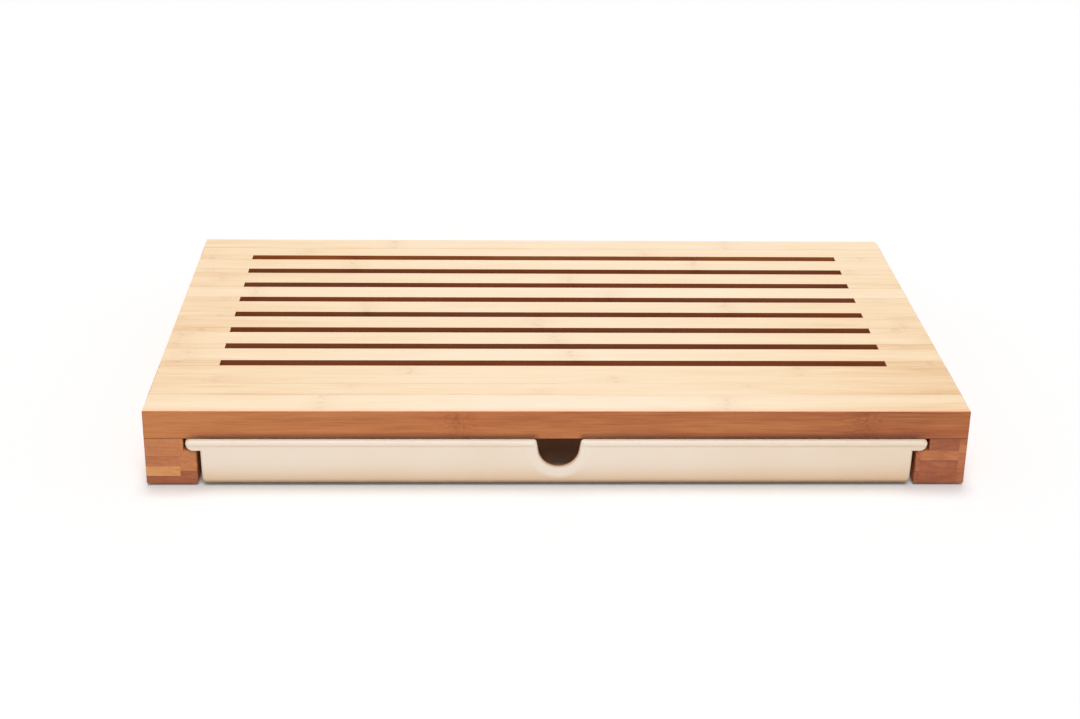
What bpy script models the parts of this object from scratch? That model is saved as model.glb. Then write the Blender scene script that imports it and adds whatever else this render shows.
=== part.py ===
# Bamboo bread board that stands on two grooved legs, over a crumb tray that pulls out to the front.
# Metres, +Z up, +Y to the back. The origin is on the ground, under the middle of the board and its tray.

from math import cos, pi, radians, sin

import bmesh
import bpy
from mathutils import Vector

# Top panel
BOARD_LENGTH = 0.415
BOARD_DEPTH = 0.250
PANEL_THICKNESS = 0.015
EDGE_EASE = 0.0006

# Crumb slots, which end just inside the tray's walls, with the slats between them
# and the rails before and behind them
SLOT_WIDTH = 0.007
SLOT_END_MARGIN = 0.0013
SLAT_WIDTH = 0.0156
FRONT_RAIL_DEPTH = 0.0565
FRONT_STAVE_DEPTH = 0.020
BACK_RAIL_LEAST_DEPTH = 0.020
BACK_STAVE_DEPTH = 0.015

# Legs, and the groove along each one's inner top corner
LEG_WIDTH = 0.0258
LEG_HEIGHT = 0.0251
GROOVE_DEPTH = 0.0064
GROOVE_HEIGHT = 0.0068

# Glue lines between the bamboo pieces, and between the legs and their pads
GLUE_LINE = 0.0003

# Non-slip pads
PAD_DIAMETER = 0.012
PAD_THICKNESS = 0.0008
PAD_END_MARGIN = 0.008

# Rear stop
STOP_THICKNESS = 0.008
STOP_GROUND_CLEARANCE = 0.008

# Crumb tray, whose front stands proud of the board's
TRAY_WALL = 0.0025
TRAY_PROUD = 0.0015
TRAY_STOP_GAP = 0.0003
TRAY_RIM_CLEARANCE = 0.0005
TRAY_GROUND_CLEARANCE = 0.0013
TRAY_SIDE_CLEARANCE = 0.0019
TRAY_DRAFT = 0.0004
TRAY_CORNER_RADIUS = 0.0018
TRAY_BOTTOM_RADIUS = 0.0045
TRAY_LIP_RADIUS = 0.0020

# Tray flanges, which hang on the ledges of the grooves
FLANGE_SIDE_CLEARANCE = 0.0013
FLANGE_RUNNING_GAP = 0.0003
FLANGE_TOP_WALL = 0.0022
FLANGE_LIP_WALL = 0.0030
FLANGE_TOP_RADIUS = 0.0020
FLANGE_LOWER_RADIUS = 0.0028

# Finger notch in the tray's front
NOTCH_TOP_WIDTH = 0.0228
NOTCH_TAPER = 0.0013
NOTCH_STRAIGHT_DEPTH = 0.0047
NOTCH_FLARE_RADIUS = 0.0016

# One overrun for every cut, and how near a face has to be to a plane to lie on it
CUT_OVERRUN = 0.0010
PLANE_TOLERANCE = 0.0000005

# Facets of round stretches
ARC_STEPS = 5
NOTCH_STEPS = 16
PAD_STEPS = 32
EASE_STEPS = 2

# Levels, from the ground up
LEG_BOTTOM = PAD_THICKNESS + GLUE_LINE
LEG_TOP = LEG_BOTTOM + LEG_HEIGHT
PANEL_UNDERSIDE = LEG_TOP + GLUE_LINE
BOARD_TOP = PANEL_UNDERSIDE + PANEL_THICKNESS
LEDGE = PANEL_UNDERSIDE - GROOVE_HEIGHT
RIM = PANEL_UNDERSIDE - TRAY_RIM_CLEARANCE
TRAY_BOTTOM = TRAY_GROUND_CLEARANCE
FLANGE_BOTTOM = LEDGE + FLANGE_RUNNING_GAP

# Places along the board, from its middle
END = BOARD_LENGTH / 2
FRONT = (TRAY_PROUD - BOARD_DEPTH) / 2
BACK = FRONT + BOARD_DEPTH
LEG_INSIDE = END - LEG_WIDTH
GROOVE_WALL = LEG_INSIDE + GROOVE_DEPTH
STOP_FRONT = BACK - STOP_THICKNESS
TRAY_FRONT = FRONT - TRAY_PROUD
TRAY_BACK = STOP_FRONT - TRAY_STOP_GAP
TRAY_HALF_WIDTH = LEG_INSIDE - TRAY_SIDE_CLEARANCE
TRAY_ORIGIN = (0, TRAY_FRONT, LEDGE)
FLANGE_REACH = GROOVE_WALL - FLANGE_SIDE_CLEARANCE
SLOT_END = TRAY_HALF_WIDTH - TRAY_WALL - SLOT_END_MARGIN

# Slots: as many as fit between the front rail and the least back rail
SLOT_PITCH = SLOT_WIDTH + SLAT_WIDTH
SLOT_FIELD = BOARD_DEPTH - FRONT_RAIL_DEPTH - BACK_RAIL_LEAST_DEPTH + SLAT_WIDTH
SLOT_COUNT = max(1, int(SLOT_FIELD / SLOT_PITCH))
FIRST_SLOT = FRONT + FRONT_RAIL_DEPTH
BACK_RAIL_FRONT = FIRST_SLOT + SLOT_COUNT * SLOT_PITCH - SLAT_WIDTH

# Leg columns, counted from the outer face: their names, the shares of the leg's width where they end,
# and the shares of the height, from the bottom, at which each one's laths are glued on each other.
# A seam at the ledge is one where the groove's floor is also a glue line.
LEDGE_share = (LEDGE - LEG_BOTTOM) / LEG_HEIGHT
LEFT_LEG_COLUMNS = ("outer", "inner")
LEFT_LEG_width_shares = (0.67, 1.00)
LEFT_LEG_seam_shares = ((0.174, 0.389, 0.616, 0.814), (0.287, 0.500, LEDGE_share))
RIGHT_LEG_COLUMNS = ("outer", "middle", "inner")
RIGHT_LEG_width_shares = (0.155, 0.905, 1.00)
RIGHT_LEG_seam_shares = (
    (0.245, 0.460, 0.679, 0.879),
    (0.261, 0.521, LEDGE_share),
    (0.278, 0.556, LEDGE_share),
)


def clear_scene():
    for item in list(bpy.data.objects):
        bpy.data.objects.remove(item, do_unlink=True)


def linear(level):
    share = level / 255
    return share / 12.92 if share <= 0.04045 else ((share + 0.055) / 1.055) ** 2.4


def material(name, red, green, blue, roughness):
    made = bpy.data.materials.new(name)
    made.use_nodes = True
    shader = made.node_tree.nodes["Principled BSDF"]
    shader.inputs["Base Color"].default_value = (linear(red), linear(green), linear(blue), 1)
    shader.inputs["Roughness"].default_value = roughness
    shader.inputs["Metallic"].default_value = 0
    return made


def empty(name, place, parent=None):
    made = bpy.data.objects.new(name, None)
    made.location = place
    made.parent = parent
    bpy.context.scene.collection.objects.link(made)
    return made


def add_object(name, bm, finish, parent, origin):
    """Turns a mesh drawn in board coordinates into an object whose origin is at the given place."""
    bmesh.ops.recalc_face_normals(bm, faces=bm.faces)
    bmesh.ops.translate(bm, vec=-Vector(origin), verts=bm.verts)
    mesh = bpy.data.meshes.new(name)
    bm.to_mesh(mesh)
    bm.free()
    made = bpy.data.objects.new(name, mesh)
    bpy.context.scene.collection.objects.link(made)
    made.parent = parent
    made.location = Vector(origin) - (parent.matrix_world.translation if parent else Vector())
    if finish:
        made.data.materials.append(finish)
    return made


def prism(outline, axis, start, end):
    """A bmesh prism of an outline, drawn on the two other axes in X, Y, Z order, along the axis."""
    bm = bmesh.new()
    corners = []
    for first, second in outline:
        point = [first, second]
        point.insert(axis, start)
        corners.append(bm.verts.new(point))
    face = bm.faces.new(corners)
    grown = bmesh.ops.extrude_face_region(bm, geom=[face])
    shift = Vector([0, 0, 0])
    shift[axis] = end - start
    moved = [item for item in grown["geom"] if isinstance(item, bmesh.types.BMVert)]
    bmesh.ops.translate(bm, vec=shift, verts=moved)
    bmesh.ops.recalc_face_normals(bm, faces=bm.faces)
    return bm


def rectangle(left, right, low, high):
    return [(left, low), (right, low), (right, high), (left, high)]


def arc(centre_first, centre_second, radius, from_degrees, to_degrees, steps):
    points = []
    for step in range(steps + 1):
        angle = radians(from_degrees + (to_degrees - from_degrees) * step / steps)
        points.append((centre_first + radius * cos(angle), centre_second + radius * sin(angle)))
    return points


def ease_outer_edges(bm):
    """Rounds the edges at which two outer faces of the whole board meet."""
    planes = [(0, -END), (0, END), (0, -LEG_INSIDE), (0, LEG_INSIDE)]
    planes += [(1, FRONT), (1, BACK), (2, BOARD_TOP), (2, LEG_BOTTOM)]

    def is_outer(face):
        return any(
            all(abs(vert.co[axis] - value) < PLANE_TOLERANCE for vert in face.verts)
            for axis, value in planes
        )

    edges = [edge for edge in bm.edges if all(is_outer(face) for face in edge.link_faces)]
    if edges:
        bmesh.ops.bevel(bm, geom=edges, offset=EDGE_EASE, segments=EASE_STEPS, profile=0.5, affect="EDGES")


def lath(name, outline, finish, parent):
    """A bamboo lath that runs front to back, drawn as its outline in X and Z."""
    bm = prism(outline, 1, FRONT, BACK)
    ease_outer_edges(bm)
    middle_x = sum(point[0] for point in outline) / len(outline)
    middle_z = sum(point[1] for point in outline) / len(outline)
    return add_object(name, bm, finish, parent, (middle_x, 0, middle_z))


def panel_piece(name, left, right, front, back, finish, parent):
    """A piece of the top panel, as thick as the panel."""
    bm = prism(rectangle(left, right, front, back), 2, PANEL_UNDERSIDE, BOARD_TOP)
    ease_outer_edges(bm)
    origin = ((left + right) / 2, (front + back) / 2, (PANEL_UNDERSIDE + BOARD_TOP) / 2)
    return add_object(name, bm, finish, parent, origin)


def make_rails(finish, parent):
    seam = FRONT + FRONT_STAVE_DEPTH
    panel_piece("front_rail_outer_stave", -END, END, FRONT, seam, finish, parent)
    panel_piece("front_rail_inner_stave", -END, END, seam + GLUE_LINE, FIRST_SLOT, finish, parent)
    seam = BACK - BACK_STAVE_DEPTH
    panel_piece("back_rail_inner_stave", -END, END, BACK_RAIL_FRONT, seam - GLUE_LINE, finish, parent)
    panel_piece("back_rail_outer_stave", -END, END, seam, BACK, finish, parent)


def make_slats(finish, parent):
    for number in range(1, SLOT_COUNT):
        front = FIRST_SLOT + number * SLOT_PITCH - SLAT_WIDTH
        panel_piece(f"slat_{number}", -END, END, front, front + SLAT_WIDTH, finish, parent)


def make_spacers(finish, parent):
    for number in range(SLOT_COUNT):
        front = FIRST_SLOT + number * SLOT_PITCH + GLUE_LINE
        back = FIRST_SLOT + number * SLOT_PITCH + SLOT_WIDTH - GLUE_LINE
        panel_piece(f"left_spacer_{number + 1}", -END, -SLOT_END, front, back, finish, parent)
        panel_piece(f"right_spacer_{number + 1}", SLOT_END, END, front, back, finish, parent)


def lath_outline(outer, inner, low, high):
    """A lath's outline, with what the groove takes out of it left off."""
    wall = END - GROOVE_WALL
    if inner <= wall or high <= LEDGE:
        return rectangle(outer, inner, low, high)
    if low >= LEDGE:
        return rectangle(outer, wall, low, high)
    if outer >= wall:
        return rectangle(outer, inner, low, LEDGE)
    return [(outer, low), (inner, low), (inner, LEDGE), (wall, LEDGE), (wall, high), (outer, high)]


def make_leg(side, direction, columns, finish, parent):
    """A leg glued up from columns of laths, drawn inwards from the board's end face."""
    outer = 0
    for column, width_share, column_seam_shares in columns:
        inner = LEG_WIDTH * width_share
        levels = [LEG_BOTTOM + LEG_HEIGHT * share for share in (0, *column_seam_shares, 1)]
        for number, (low, high) in enumerate(zip(levels, levels[1:]), 1):
            bottom = low if number == 1 else low + GLUE_LINE
            if bottom >= LEDGE and outer >= END - GROOVE_WALL:
                continue
            outline = lath_outline(outer, inner, bottom, high)
            placed = [(direction * (END - inward), level) for inward, level in outline]
            lath(f"{side}_leg_{column}_lath_{number}", placed, finish, parent)
        outer = inner + GLUE_LINE


def make_pads(finish, parent):
    across = END - LEG_WIDTH / 2
    inward = PAD_END_MARGIN + PAD_DIAMETER / 2
    for place, x, y in (
        ("front_left", -across, FRONT + inward),
        ("front_right", across, FRONT + inward),
        ("back_left", -across, BACK - inward),
        ("back_right", across, BACK - inward),
    ):
        ring = arc(x, y, PAD_DIAMETER / 2, 0, 360, PAD_STEPS)[:-1]
        bm = prism(ring, 2, 0, PAD_THICKNESS)
        pad = add_object(f"{place}_pad", bm, finish, parent, (x, y, 0))
        pad.data.shade_smooth()
        pad.data.set_sharp_from_angle(angle=radians(40))


def make_rear_stop(finish, parent):
    side = LEG_INSIDE - GLUE_LINE
    top = PANEL_UNDERSIDE - GLUE_LINE
    bm = prism(rectangle(-side, side, STOP_GROUND_CLEARANCE, top), 1, STOP_FRONT, BACK)
    origin = (0, (STOP_FRONT + BACK) / 2, (STOP_GROUND_CLEARANCE + top) / 2)
    add_object("rear_stop", bm, finish, parent, origin)


def tray_section(level, inset):
    """The tray's plan outline at a level: sides and back lean in downwards, by the draft."""
    lean = TRAY_DRAFT * (RIM - level) / (RIM - TRAY_BOTTOM)
    side = TRAY_HALF_WIDTH - lean - inset
    front = TRAY_FRONT + inset
    back = TRAY_BACK - lean - inset
    radius = TRAY_CORNER_RADIUS
    ring = arc(side - radius, back - radius, radius, 0, 90, ARC_STEPS)
    ring += arc(radius - side, back - radius, radius, 90, 180, ARC_STEPS)
    ring += arc(radius - side, front + radius, radius, 180, 270, ARC_STEPS)
    ring += arc(side - radius, front + radius, radius, 270, 360, ARC_STEPS)
    return [(x, y, level) for x, y in ring]


def tray_loft(inset, bottom, top, radius):
    """A tub of plan outlines, from the flat of the bottom up its rounded edge to the top."""
    rings = []
    for step in range(ARC_STEPS + 1):
        angle = pi / 2 * step / ARC_STEPS
        rings.append(tray_section(bottom + radius * (1 - cos(angle)), inset + radius * (1 - sin(angle))))
    rings.append(tray_section(top, inset))
    bm = bmesh.new()
    loops = [[bm.verts.new(point) for point in ring] for ring in rings]
    count = len(loops[0])
    for lower, upper in zip(loops, loops[1:]):
        for index in range(count):
            following = (index + 1) % count
            bm.faces.new((lower[index], lower[following], upper[following], upper[index]))
    bm.faces.new(reversed(loops[0]))
    bm.faces.new(loops[-1])
    return bm


def flange_outline(direction):
    """A flange's section in X and Z, from inside the tray's wall to its rounded outer edge."""
    root = TRAY_HALF_WIDTH - TRAY_WALL / 2 - TRAY_DRAFT
    top = FLANGE_TOP_RADIUS
    low = min(FLANGE_LOWER_RADIUS, RIM - FLANGE_BOTTOM - top)
    points = [(root, FLANGE_BOTTOM)]
    points += arc(FLANGE_REACH - low, FLANGE_BOTTOM + low, low, 270, 360, ARC_STEPS)
    points += arc(FLANGE_REACH - top, RIM - top, top, 0, 90, ARC_STEPS)
    points.append((root, RIM))
    return [(direction * x, z) for x, z in points]


def flange_channel(direction):
    """The hollow under a flange, between the tray's wall and the flange's hanging lip."""
    bottom, top = FLANGE_BOTTOM - CUT_OVERRUN, RIM - FLANGE_TOP_WALL
    outline = rectangle(TRAY_HALF_WIDTH, FLANGE_REACH - FLANGE_LIP_WALL, bottom, top)
    return prism([(direction * x, z) for x, z in outline], 1, TRAY_FRONT + TRAY_WALL, TRAY_BACK - TRAY_WALL)


def notch_cutter():
    """The finger notch: flared at the rim, a little tapered, and round at the bottom."""
    half, flare = NOTCH_TOP_WIDTH / 2, NOTCH_FLARE_RADIUS
    right = [(half + flare, RIM + CUT_OVERRUN)]
    right += arc(half + flare, RIM - flare, flare, 90, 180, ARC_STEPS)
    bottom = arc(0, RIM - NOTCH_STRAIGHT_DEPTH, half - NOTCH_TAPER, 0, -180, NOTCH_STEPS)
    left = [(-x, z) for x, z in reversed(right)]
    return prism(right + bottom + left, 1, TRAY_FRONT - CUT_OVERRUN, TRAY_FRONT + TRAY_WALL + CUT_OVERRUN)


def lip_cutter():
    """What comes off along the front of the tray's rim, to leave a rounded lip."""
    front, back = TRAY_FRONT - CUT_OVERRUN, TRAY_FRONT + TRAY_LIP_RADIUS
    outline = [(back, RIM + CUT_OVERRUN), (front, RIM + CUT_OVERRUN), (front, RIM - TRAY_LIP_RADIUS)]
    outline += arc(back, RIM - TRAY_LIP_RADIUS, TRAY_LIP_RADIUS, 180, 90, ARC_STEPS)
    return prism(outline, 0, -END, END)


def cut(target, name, bm, parent, operation):
    tool = add_object(name, bm, None, parent, TRAY_ORIGIN)
    tool.hide_render = True
    tool.display_type = "WIRE"
    modifier = target.modifiers.new(name, "BOOLEAN")
    modifier.operation = operation
    modifier.object = tool


def make_tray(finish, parent):
    body = tray_loft(0, TRAY_BOTTOM, RIM, TRAY_BOTTOM_RADIUS)
    tray = add_object("crumb_tray", body, finish, parent, TRAY_ORIGIN)
    for side, direction in (("left", -1), ("right", 1)):
        bar = prism(flange_outline(direction), 1, TRAY_FRONT, TRAY_BACK)
        cut(tray, f"{side}_flange", bar, parent, "UNION")
    hollow = tray_loft(
        TRAY_WALL, TRAY_BOTTOM + TRAY_WALL, RIM + CUT_OVERRUN, TRAY_BOTTOM_RADIUS - TRAY_WALL
    )
    cut(tray, "tray_hollow", hollow, parent, "DIFFERENCE")
    cut(tray, "finger_notch", notch_cutter(), parent, "DIFFERENCE")
    cut(tray, "lip_rounding", lip_cutter(), parent, "DIFFERENCE")
    for side, direction in (("left", -1), ("right", 1)):
        cut(tray, f"{side}_flange_channel", flange_channel(direction), parent, "DIFFERENCE")
    tray.data.shade_smooth()
    tray.data.set_sharp_from_angle(angle=radians(40))


clear_scene()
BAMBOO_TOP = material("bamboo_top", 245, 219, 184, 0.5)
BAMBOO_LEG = material("bamboo_leg", 214, 163, 118, 0.55)
TRAY_PLASTIC = material("tray_plastic", 240, 226, 206, 0.35)
PAD_RUBBER = material("pad_rubber", 60, 56, 52, 0.8)

board = empty("board", (0, 0, 0))
tray_slide = empty("tray_slide", TRAY_ORIGIN, board)
bpy.context.view_layer.update()

make_rails(BAMBOO_TOP, board)
make_slats(BAMBOO_TOP, board)
make_spacers(BAMBOO_TOP, board)
left_columns = zip(LEFT_LEG_COLUMNS, LEFT_LEG_width_shares, LEFT_LEG_seam_shares)
right_columns = zip(RIGHT_LEG_COLUMNS, RIGHT_LEG_width_shares, RIGHT_LEG_seam_shares)
make_leg("left", -1, left_columns, BAMBOO_LEG, board)
make_leg("right", 1, right_columns, BAMBOO_LEG, board)
make_rear_stop(BAMBOO_LEG, board)
make_pads(PAD_RUBBER, board)
make_tray(TRAY_PLASTIC, tray_slide)
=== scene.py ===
from collections import namedtuple
from math import cos, pi, radians, sin, sqrt, tan

import bmesh
import bpy
from mathutils import Matrix, Vector


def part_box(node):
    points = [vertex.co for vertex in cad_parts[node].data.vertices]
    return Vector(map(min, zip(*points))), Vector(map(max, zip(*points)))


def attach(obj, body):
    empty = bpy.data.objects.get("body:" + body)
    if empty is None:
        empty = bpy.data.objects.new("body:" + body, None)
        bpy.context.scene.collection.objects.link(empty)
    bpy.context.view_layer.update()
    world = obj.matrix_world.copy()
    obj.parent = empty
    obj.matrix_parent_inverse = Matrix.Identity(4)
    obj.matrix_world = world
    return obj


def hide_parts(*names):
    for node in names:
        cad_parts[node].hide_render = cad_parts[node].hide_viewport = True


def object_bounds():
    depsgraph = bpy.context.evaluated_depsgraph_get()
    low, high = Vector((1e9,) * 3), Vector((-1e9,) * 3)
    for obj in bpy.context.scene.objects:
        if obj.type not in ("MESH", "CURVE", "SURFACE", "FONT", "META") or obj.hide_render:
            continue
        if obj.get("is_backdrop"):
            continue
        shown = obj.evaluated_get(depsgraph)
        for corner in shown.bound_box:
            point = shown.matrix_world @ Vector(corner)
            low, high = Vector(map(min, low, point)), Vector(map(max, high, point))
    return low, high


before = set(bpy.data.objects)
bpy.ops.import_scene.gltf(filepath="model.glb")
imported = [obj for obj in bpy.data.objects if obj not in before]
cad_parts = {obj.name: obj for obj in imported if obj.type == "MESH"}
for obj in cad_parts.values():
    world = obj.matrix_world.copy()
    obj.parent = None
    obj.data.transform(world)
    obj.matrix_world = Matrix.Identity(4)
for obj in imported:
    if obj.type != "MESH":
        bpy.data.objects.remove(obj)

cad_low, cad_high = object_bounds()
scene = bpy.context.scene


# View. The board is seen from the front, a little to the left of its middle and from above,
# through a short telephoto lens.
CAMERA_PLACE = (-0.0417, -0.98305, 0.4437)
CAMERA_TURN = radians(2.106)
CAMERA_DIP = radians(23.516)
CAMERA_ROLL = radians(-0.933)
CAMERA_LENS = 63.33
CAMERA_SENSOR = 36.0
CAMERA_NEAREST = 0.01

forward = Vector((sin(CAMERA_TURN) * cos(CAMERA_DIP), cos(CAMERA_TURN) * cos(CAMERA_DIP), -sin(CAMERA_DIP)))
level_right = Vector((cos(CAMERA_TURN), -sin(CAMERA_TURN), 0))
level_down = forward.cross(level_right)
right = cos(CAMERA_ROLL) * level_right + sin(CAMERA_ROLL) * level_down
down = cos(CAMERA_ROLL) * level_down - sin(CAMERA_ROLL) * level_right
camera = bpy.data.objects.new("camera", bpy.data.cameras.new("camera"))
camera.data.sensor_width = CAMERA_SENSOR
camera.data.lens = CAMERA_LENS
camera.data.clip_start = CAMERA_NEAREST
aim = Matrix((right, -down, -forward)).transposed().to_4x4()
camera.matrix_world = Matrix.Translation(CAMERA_PLACE) @ aim
scene.collection.objects.link(camera)
scene.camera = camera
scene.view_settings.view_transform = "Standard"


# Light. The room is white wherever it shows, and lights the board gently from all round. A lamp
# overhead, a little behind the board, makes its top the brightest face and leaves a close shadow
# in front. Three weaker lamps in front light the front edge, the legs' ends and the tray.
ROOM_STRENGTH = 0.29
FRONT_SPREAD = radians(20)
FRONT_TILT = radians(31)
# Each lamp: its name, strength, spread, tilt towards the front, and turn.
LAMPS = (
    ("overhead_lamp", 1.32, radians(22), radians(-13), 0.0),
    ("left_front_lamp", 0.55, FRONT_SPREAD, FRONT_TILT, radians(-20)),
    ("front_lamp", 0.40, FRONT_SPREAD, FRONT_TILT, 0.0),
    ("right_front_lamp", 0.54, FRONT_SPREAD, FRONT_TILT, radians(18)),
)
WHITE = (1, 1, 1, 1)


def add_node(tree, kind, inputs=None, **settings):
    """Adds a node, with each named or numbered input linked to a socket or set to a value."""
    made = tree.nodes.new(kind)
    for key, value in settings.items():
        setattr(made, key, value)
    for key, value in (inputs or {}).items():
        if isinstance(value, bpy.types.NodeSocket):
            tree.links.new(value, made.inputs[key])
        else:
            made.inputs[key].default_value = value
    return made


def number(tree, operation, *values):
    """The result of one operation on sockets or plain numbers."""
    return add_node(tree, "ShaderNodeMath", dict(enumerate(values)), operation=operation).outputs[0]


def where_shown(tree):
    """1 on the rays that show a thing, straight, mirrored or through glass, and 0 on those that
    carry its light to other things."""
    rays = add_node(tree, "ShaderNodeLightPath").outputs
    mirrored = number(tree, "MAXIMUM", rays["Is Glossy Ray"], rays["Is Transmission Ray"])
    return number(tree, "MAXIMUM", rays["Is Camera Ray"], mirrored)


room = bpy.data.worlds.new("white_room")
room.use_nodes = True
tree = room.node_tree
background = tree.nodes["Background"]
background.inputs["Color"].default_value = WHITE
tree.links.new(number(tree, "MAXIMUM", where_shown(tree), ROOM_STRENGTH), background.inputs["Strength"])
scene.world = room

for name, strength, spread, tilt, turn in LAMPS:
    lamp = bpy.data.objects.new(name, bpy.data.lights.new(name, "SUN"))
    lamp.data.energy = strength
    lamp.data.angle = spread
    lamp.rotation_euler = (tilt, 0, turn)
    scene.collection.objects.link(lamp)


# Floor. A plain white table top that fills the picture and keeps the board's close shadow.
# It glows a little where it shows, and lights nothing by that.
FLOOR_SIZE = 30.0
FLOOR_WHITE = 0.86
FLOOR_GLOW = 0.05


def new_finish(name):
    """A new material, with its node tree and its shader."""
    made = bpy.data.materials.new(name)
    made.use_nodes = True
    return made, made.node_tree, made.node_tree.nodes["Principled BSDF"]


def add_object(name, bm):
    """Puts a finished mesh into the scene as an object, and frees its working copy."""
    mesh = bpy.data.meshes.new(name)
    bm.to_mesh(mesh)
    bm.free()
    made = bpy.data.objects.new(name, mesh)
    scene.collection.objects.link(made)
    return made


bm = bmesh.new()
bmesh.ops.create_grid(bm, x_segments=1, y_segments=1, size=FLOOR_SIZE / 2)
floor = add_object("table_top", bm)
finish, tree, shader = new_finish("matt_white")
shader.inputs["Base Color"].default_value = (FLOOR_WHITE, FLOOR_WHITE, FLOOR_WHITE, 1)
shader.inputs["Roughness"].default_value = 1.0
shader.inputs["Specular IOR Level"].default_value = 0.0
shader.inputs["Emission Color"].default_value = WHITE
tree.links.new(number(tree, "MULTIPLY", where_shown(tree), FLOOR_GLOW), shader.inputs["Emission Strength"])
floor.data.materials.append(finish)
floor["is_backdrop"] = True


# Rails of the top panel. The front rail and the back rail are each two bamboo staves, edge-glued
# and planed flush. Bamboo is pale on its flat faces, caramel along its edges, and dotted at its ends.
EASE = 0.0006
EASE_STEPS = 3
HAIRLINE = 0.00004
PLANE_TOLERANCE = 0.0000005

front_stave_low, front_stave_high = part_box("front_rail_outer_stave")
inner_stave_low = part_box("front_rail_inner_stave")[0]
slat_low, slat_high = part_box("slat_1")
panel_low = Vector((cad_low.x, front_stave_low.y, front_stave_low.z))
panel_high = Vector(cad_high)
GLUE_LINE = inner_stave_low.y - front_stave_high.y
SLAT_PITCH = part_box("slat_2")[0].y - slat_low.y
FRONT_SEAM = inner_stave_low.y - GLUE_LINE / 2
BACK_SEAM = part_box("back_rail_outer_stave")[0].y - GLUE_LINE / 2
BOARD_PLANES = [(0, panel_low.x), (0, panel_high.x), (1, panel_low.y), (1, panel_high.y), (2, panel_high.z)]

# Tints of bamboo in levels up to 255, each at its place on a scale of tones from 0 to 1.
PALE_TINTS = (
    (0.0, (210, 168, 120)),
    (0.25, (228, 192, 149)),
    (0.5, (238, 210, 173)),
    (0.75, (241, 217, 185)),
    (1.0, (243, 223, 197)),
)
CARAMEL_TINTS = (
    (0.0, (146, 75, 35)),
    (0.25, (176, 99, 47)),
    (0.5, (197, 119, 61)),
    (0.75, (209, 133, 72)),
    (1.0, (224, 154, 90)),
)
# The underside's tints are a guess, kept darker than the top's so that less light bounces into the tray:
# painted shade for its inside as seen through the notch.
UNDER_PAINTED_SHADE_TINTS = ((0.0, (138, 102, 76)), (0.5, (164, 128, 98)), (1.0, (184, 150, 118)))

# What darkens the bamboo is multiplied with it, in shares of red, green and blue.
FIBRE_SHADE = (0.76, 0.64, 0.52, 1)
KNUCKLE_SHADE = (0.66, 0.50, 0.42, 1)
DOT_SHADE = (0.66, 0.50, 0.40, 1)
SEAM_SHADE = (0.80, 0.68, 0.52, 1)
ARRIS_SHADE = (0.99, 0.80, 0.72, 1)
PATCH_SHADE = (0.99, 0.91, 0.90, 1)
# The last is painted shade: the dark band low on the front edge over the tray's rim.
FOOT_PAINTED_SHADE = (0.38, 0.27, 0.17, 1)

# Marks in bamboo, as how many grains lie to the metre along the fibres and across them. The layers
# in its cut ends are given along X, Y and Z.
BLOTCHES = (11, 130)
BENDS = (13, 60)
KNUCKLE_BENDS = (90, 90)
CURLS = (170, 230)
LOOPS = (270, 340)
DASHES = (110, 460)
SEAM_BENDS = (25, 25)
SEAM_PATCHES = (22, 90)
EDGE_PATCHES = (9, 90)
DOTS = (8, 950)
END_CLOUDS = (160, 160)
END_LAYERS = (130, 130, 900)
FIBRES_ACROSS = 2400

# A noise stays mostly within this band, and fibres, dashes and patches show in narrower ones.
NOISE_BAND = (0.3, 0.7)
FIBRE_BAND = (0.52, 0.70)
DASH_BAND = (0.50, 0.64)
PATCH_BAND = (0.35, 0.65)

BLOTCH_TONE = 0.12
BLOTCH_ROUGHNESS = 0.55
STREAK_DETAIL = 3.0
STREAK_ROUGHNESS = 0.6
INTERNODE = 0.204
KNUCKLE_REACH = 0.013
KNUCKLE_CORE = 0.0035
KNUCKLE_WANDER = 0.0015
KNUCKLE_CURL = 0.0016
KNUCKLE_HALO = 0.3
LOOP_BREADTH = 0.05
FIBRE_DEPTH = 0.00004
FACE_ROUGHNESS = (0.46, 0.58)

DOT_SCATTER = 0.75
DOT_SIZES = (0.22, 0.42)
DOT_CORE = 0.55
DOT_STRENGTH = 0.38
DOT_DEPTH = 0.00006
LAYER_WANDER = 0.0006
LAYER_TONE = 0.10
CLOUD_TONE = 0.08
RIND_START = 0.78
RIND_TONE = 0.04
PITH_END = 0.2
PITH_TONE = 0.02
END_ROUGHNESS = (0.55, 0.68)

# Painted shade: the top darkens towards the board's ends, where less of the overhead sheen falls.
END_PAINTED_SHADE = 0.30
END_PAINTED_SHADE_SPAN = (0.03, 0.21)
RIGHT_END_SHADE_REACH = 0.10
RIGHT_END_SHADE_SHARES = (0.5, -0.8)

SEAM_WIDTH = 0.0012
FINE_SEAM_WIDTH = 0.0007
SEAM_STRENGTH = 0.9
FRONT_SEAM_LEAST = 0.25
BACK_SEAM_LEAST = 0.55
SEAM_PATCH_LEAST = 0.35
FINE_SEAM_MISSING = 0.25
ARRIS_DEPTH = 0.0045
# How high the painted shade over the tray's rim reaches, and where it starts beside the notch and ends at the
# legs.
FOOT_HEIGHT = 0.0040
NOTCH_SPAN = (0.0095, 0.0125)
LEG_SPAN = (0.180, 0.188)


def vector(tree, x, y, z):
    return add_node(tree, "ShaderNodeCombineXYZ", {0: x, 1: y, 2: z}).outputs[0]


def parts_of(tree, place):
    return add_node(tree, "ShaderNodeSeparateXYZ", {0: place}).outputs


def map_range(tree, value, low, high, to_low=0.0, to_high=1.0, kind="LINEAR"):
    return add_node(
        tree,
        "ShaderNodeMapRange",
        {"Value": value, "From Min": low, "From Max": high, "To Min": to_low, "To Max": to_high},
        interpolation_type=kind,
    ).outputs["Result"]


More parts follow.
